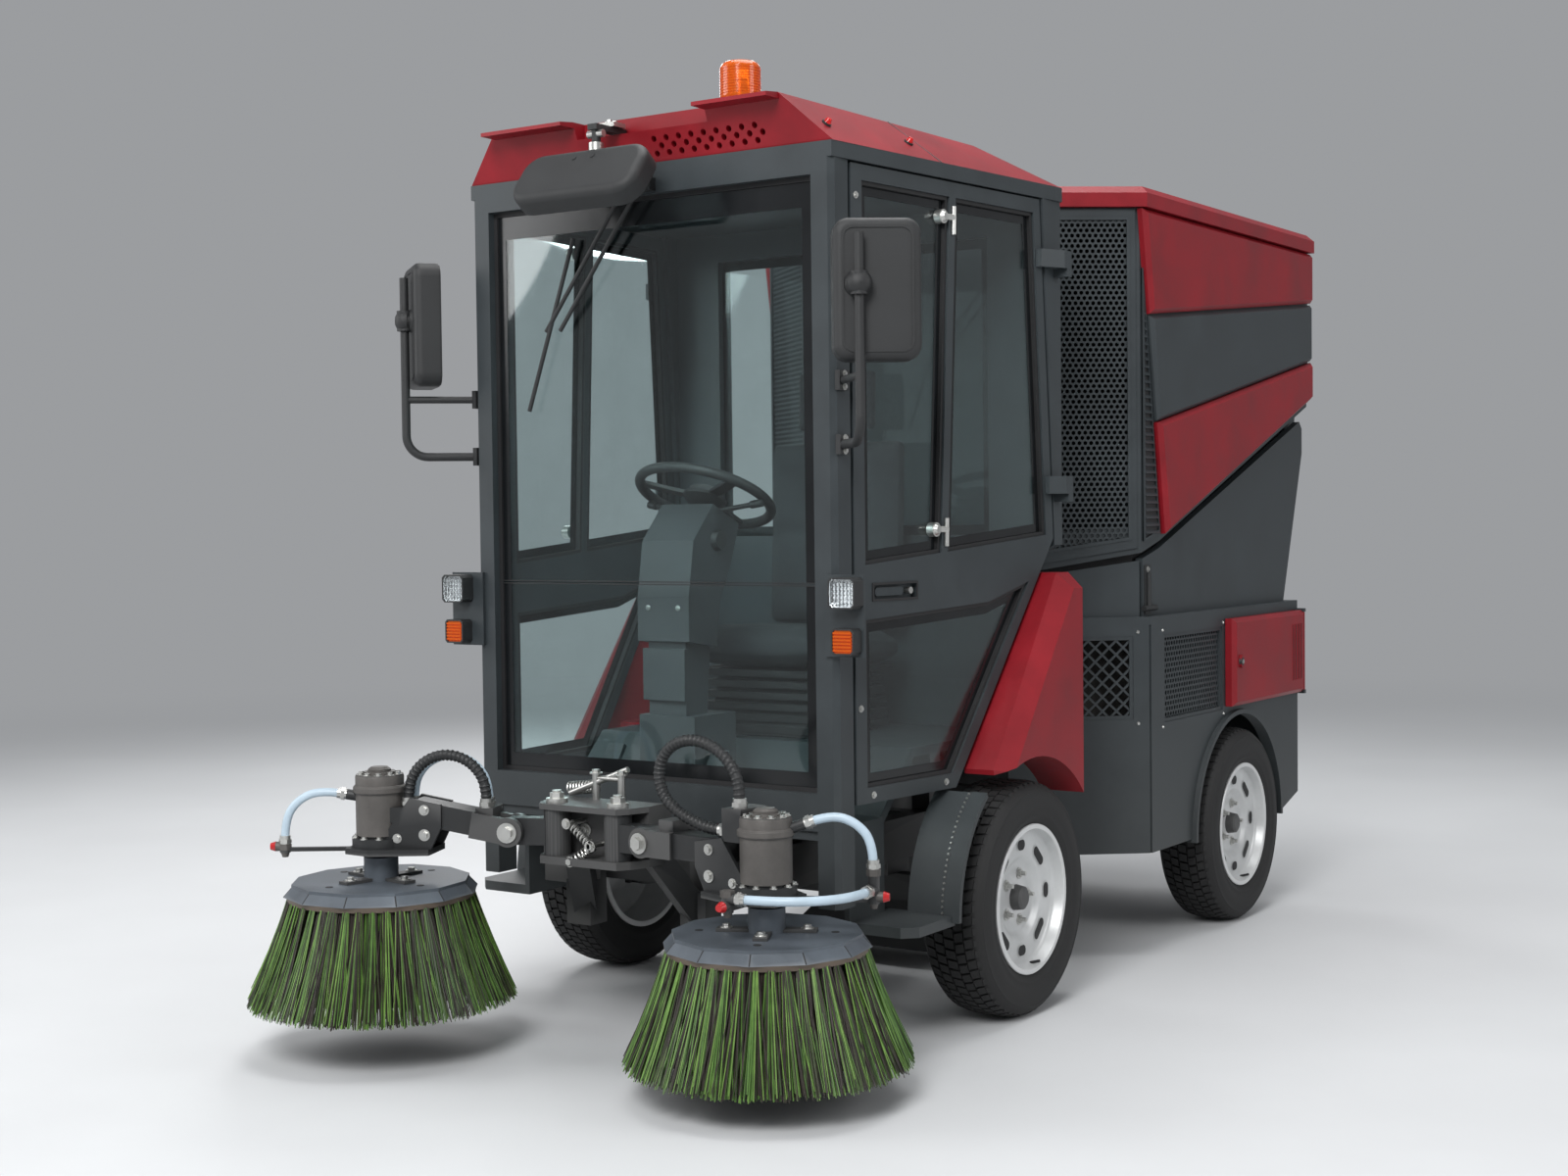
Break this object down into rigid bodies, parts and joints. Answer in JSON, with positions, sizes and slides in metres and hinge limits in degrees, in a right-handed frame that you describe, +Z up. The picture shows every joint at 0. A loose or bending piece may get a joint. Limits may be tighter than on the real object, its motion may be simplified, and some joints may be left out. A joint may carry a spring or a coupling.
{
  "type": "compact road sweeper",
  "caption": "Compact street sweeper with a glazed cab, front side brushes on swing arms and a tipping rear hopper",
  "frame": {"origin": "on the floor under the middle of the whole sweeper", "axes": "faces -Y, its left side is +X, Z up"},
  "size_m": [1.8262, 3.9456, 2.572],
  "materials": {
    "grey_paint": "satin",
    "red_paint": "satin",
    "frame_paint": "satin",
    "engine_iron": "matte",
    "black_plastic": "matte",
    "glass": "gloss",
    "amber_lens": "gloss",
    "water_hose": "satin",
    "black_rubber": "matte",
    "lamp_lens": "gloss",
    "seat_cloth": "matte",
    "plate_steel": "satin",
    "bristle": "matte",
    "tyre": "matte",
    "rim_steel": "satin"
  },
  "bodies": {
    "chassis": {"chassis_frame": "frame_paint", "front_axle": "frame_paint", "rear_axle": "frame_paint", "engine": "engine_iron", "suction": "black_plastic", "brush_carrier": "frame_paint", "cab_floor": "grey_paint", "cab_front_frame": "grey_paint", "cab_rear_frame": "grey_paint", "cab_glass": "glass", "cab_roof_rail": "grey_paint", "cab_roof": "red_paint", "beacon": "amber_lens", "front_mirror": "black_plastic", "side_mirrors": "black_plastic", "wipers": "black_plastic", "lamps": "lamp_lens", "driver_controls": "black_plastic", "steering_wheel": "black_plastic", "seat": "seat_cloth", "mudguards": "red_paint", "steps": "grey_paint", "body_panels": "grey_paint", "body_deck": "grey_paint", "body_grilles": "black_plastic", "hopper_support": "grey_paint"},
    "knuckle_l": {"knuckle_left": "frame_paint"},
    "knuckle_r": {"knuckle_right": "frame_paint"},
    "wheel_fl": {"tyre_fl": "tyre", "rim_fl": "rim_steel"},
    "wheel_fr": {"tyre_fr": "tyre", "rim_fr": "rim_steel"},
    "wheel_rl": {"tyre_rl": "tyre", "rim_rl": "rim_steel"},
    "wheel_rr": {"tyre_rr": "tyre", "rim_rr": "rim_steel"},
    "door_l": {"door_left": "grey_paint", "door_glass_left": "glass"},
    "door_r": {"door_right": "grey_paint", "door_glass_right": "glass"},
    "hopper": {"hopper_shell": "grey_paint", "hopper_cladding": "red_paint", "hopper_grilles": "grey_paint"},
    "tailgate": {"hopper_tailgate": "grey_paint"},
    "hatch_l": {"hatch_left": "red_paint"},
    "hatch_r": {"hatch_right": "red_paint"},
    "swing_l": {"swing_left": "frame_paint"},
    "brush_arm_l": {"arm_left": "frame_paint", "hose_water_left": "water_hose", "hose_spray_left": "water_hose", "hose_loop_left": "black_rubber"},
    "brush_l": {"plate_left": "plate_steel", "bristles_left": "bristle"},
    "swing_r": {"swing_right": "frame_paint"},
    "brush_arm_r": {"arm_right": "frame_paint", "hose_water_right": "water_hose", "hose_loop_right": "black_rubber", "hose_line_right": "water_hose"},
    "brush_r": {"plate_right": "plate_steel", "bristles_right": "bristle"}
  },
  "joints": [
    {"name": "steer_l", "type": "hinge", "parent": "chassis", "child": "knuckle_l", "pos_m": [0.585, -0.43, 0.327], "axis": [0, 0, 1], "range_deg": [-28, 28]},
    {"name": "steer_r", "type": "hinge", "parent": "chassis", "child": "knuckle_r", "pos_m": [-0.585, -0.43, 0.327], "axis": [0, 0, 1], "range_deg": [-28, 28]},
    {"name": "spin_fl", "type": "hinge", "parent": "knuckle_l", "child": "wheel_fl", "pos_m": [0.672, -0.43, 0.327], "axis": [1, 0, 0], "continuous": true},
    {"name": "spin_fr", "type": "hinge", "parent": "knuckle_r", "child": "wheel_fr", "pos_m": [-0.672, -0.43, 0.327], "axis": [1, 0, 0], "continuous": true},
    {"name": "spin_rl", "type": "hinge", "parent": "chassis", "child": "wheel_rl", "pos_m": [0.656, 1.17, 0.327], "axis": [1, 0, 0], "continuous": true},
    {"name": "spin_rr", "type": "hinge", "parent": "chassis", "child": "wheel_rr", "pos_m": [-0.656, 1.17, 0.327], "axis": [1, 0, 0], "continuous": true},
    {"name": "door_l_hinge", "type": "hinge", "parent": "chassis", "child": "door_l", "pos_m": [0.725, -0.13, 1.8], "axis": [0, 0, 1], "range_deg": [0, 75]},
    {"name": "door_r_hinge", "type": "hinge", "parent": "chassis", "child": "door_r", "pos_m": [-0.725, -0.13, 1.8], "axis": [0, 0, -1], "range_deg": [0, 75]},
    {"name": "hopper_tip", "type": "hinge", "parent": "chassis", "child": "hopper", "pos_m": [0, 1.87, 1.66], "axis": [-1, 0, 0], "range_deg": [0, 50]},
    {"name": "tailgate_hinge", "type": "hinge", "parent": "hopper", "child": "tailgate", "pos_m": [0, 1.962, 2.368], "axis": [1, 0, 0], "range_deg": [0, 80]},
    {"name": "hatch_l_hinge", "type": "hinge", "parent": "chassis", "child": "hatch_l", "pos_m": [0.74, 1.746, 0.88], "axis": [0, 0, 1], "range_deg": [0, 80]},
    {"name": "hatch_r_hinge", "type": "hinge", "parent": "chassis", "child": "hatch_r", "pos_m": [-0.74, 1.746, 0.88], "axis": [0, 0, -1], "range_deg": [0, 80]},
    {"name": "brush_swing_l", "type": "hinge", "parent": "chassis", "child": "swing_l", "pos_m": [0.1, -1.43, 0.585], "axis": [0, 0, -1], "range_deg": [0, 45]},
    {"name": "brush_lift_l", "type": "hinge", "parent": "swing_l", "child": "brush_arm_l", "pos_m": [0.21954, -1.44046, 0.585], "axis": [-0.0872, -0.9962, 0], "range_deg": [-5, 6]},
    {"name": "brush_spin_l", "type": "hinge", "parent": "brush_arm_l", "child": "brush_l", "pos_m": [0.58315, -1.47227, 0.4], "axis": [0, 0, 1], "continuous": true},
    {"name": "brush_swing_r", "type": "hinge", "parent": "chassis", "child": "swing_r", "pos_m": [-0.1, -1.43, 0.585], "axis": [0, 0, 1], "range_deg": [-18, 27]},
    {"name": "brush_lift_r", "type": "hinge", "parent": "swing_r", "child": "brush_arm_r", "pos_m": [-0.21046, -1.47689, 0.585], "axis": [-0.3907, 0.9205, 0], "range_deg": [-9, 2]},
    {"name": "brush_spin_r", "type": "hinge", "parent": "brush_arm_r", "child": "brush_r", "pos_m": [-0.54644, -1.6195, 0.4], "axis": [0, 0, 1], "continuous": true}
  ],
  "couplings": [
    {"joint": "steer_r", "follows": "steer_l", "ratio": 1}
  ]
}
